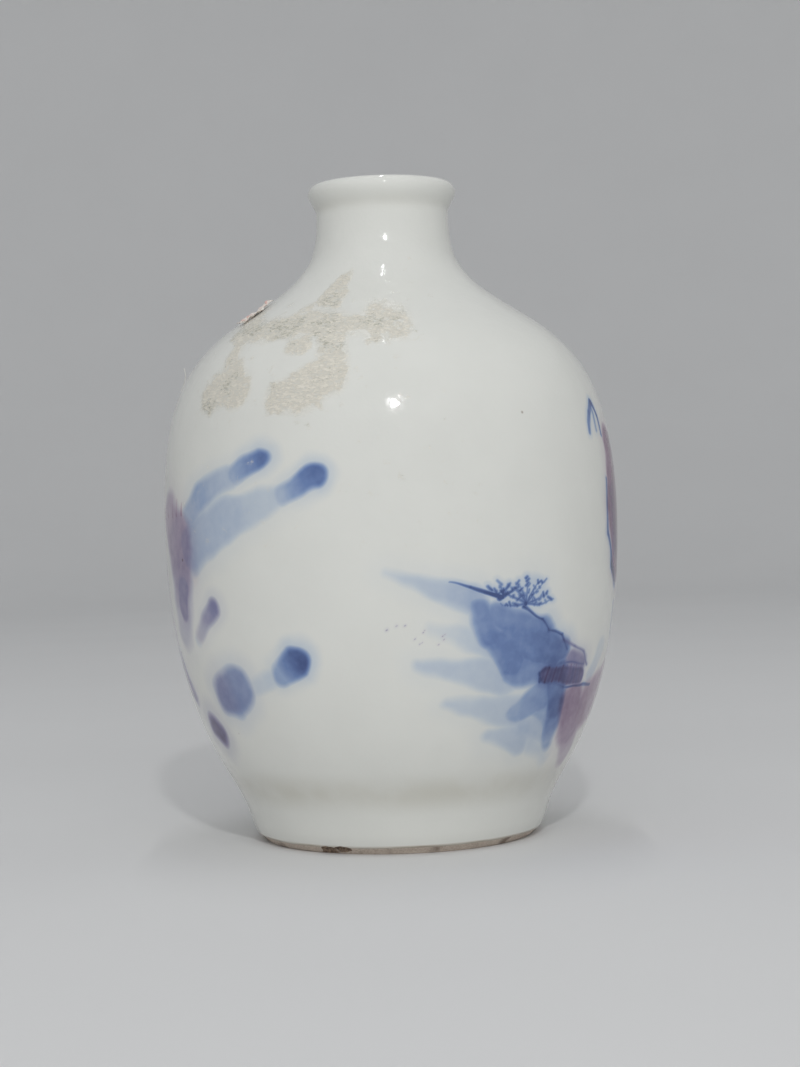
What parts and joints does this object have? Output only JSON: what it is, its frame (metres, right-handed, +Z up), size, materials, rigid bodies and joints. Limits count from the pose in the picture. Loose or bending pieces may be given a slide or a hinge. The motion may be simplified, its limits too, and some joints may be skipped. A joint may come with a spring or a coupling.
{
  "type": "snuff bottle",
  "caption": "Small round porcelain snuff bottle with a full ovoid body, low foot ring, short neck and rolled lip, painted with a river landscape; open, without its stopper.",
  "frame": {"origin": "centre of the foot ring's resting face, on the turning axis", "axes": "+Z up the turning axis to the mouth; -Y is the plain front between the two painted banks, and +X is to its right"},
  "size_m": [0.0472, 0.0472, 0.068],
  "materials": {
    "white_glaze": "glossy cool-white glaze over porcelain, painted under it in cobalt blue and copper red, with a bare unglazed foot rim",
    "label_scrap": "torn, half-clear scrap of an old sticker"
  },
  "bodies": {
    "root": {"bottle": "white_glaze"}
  },
  "joints": []
}
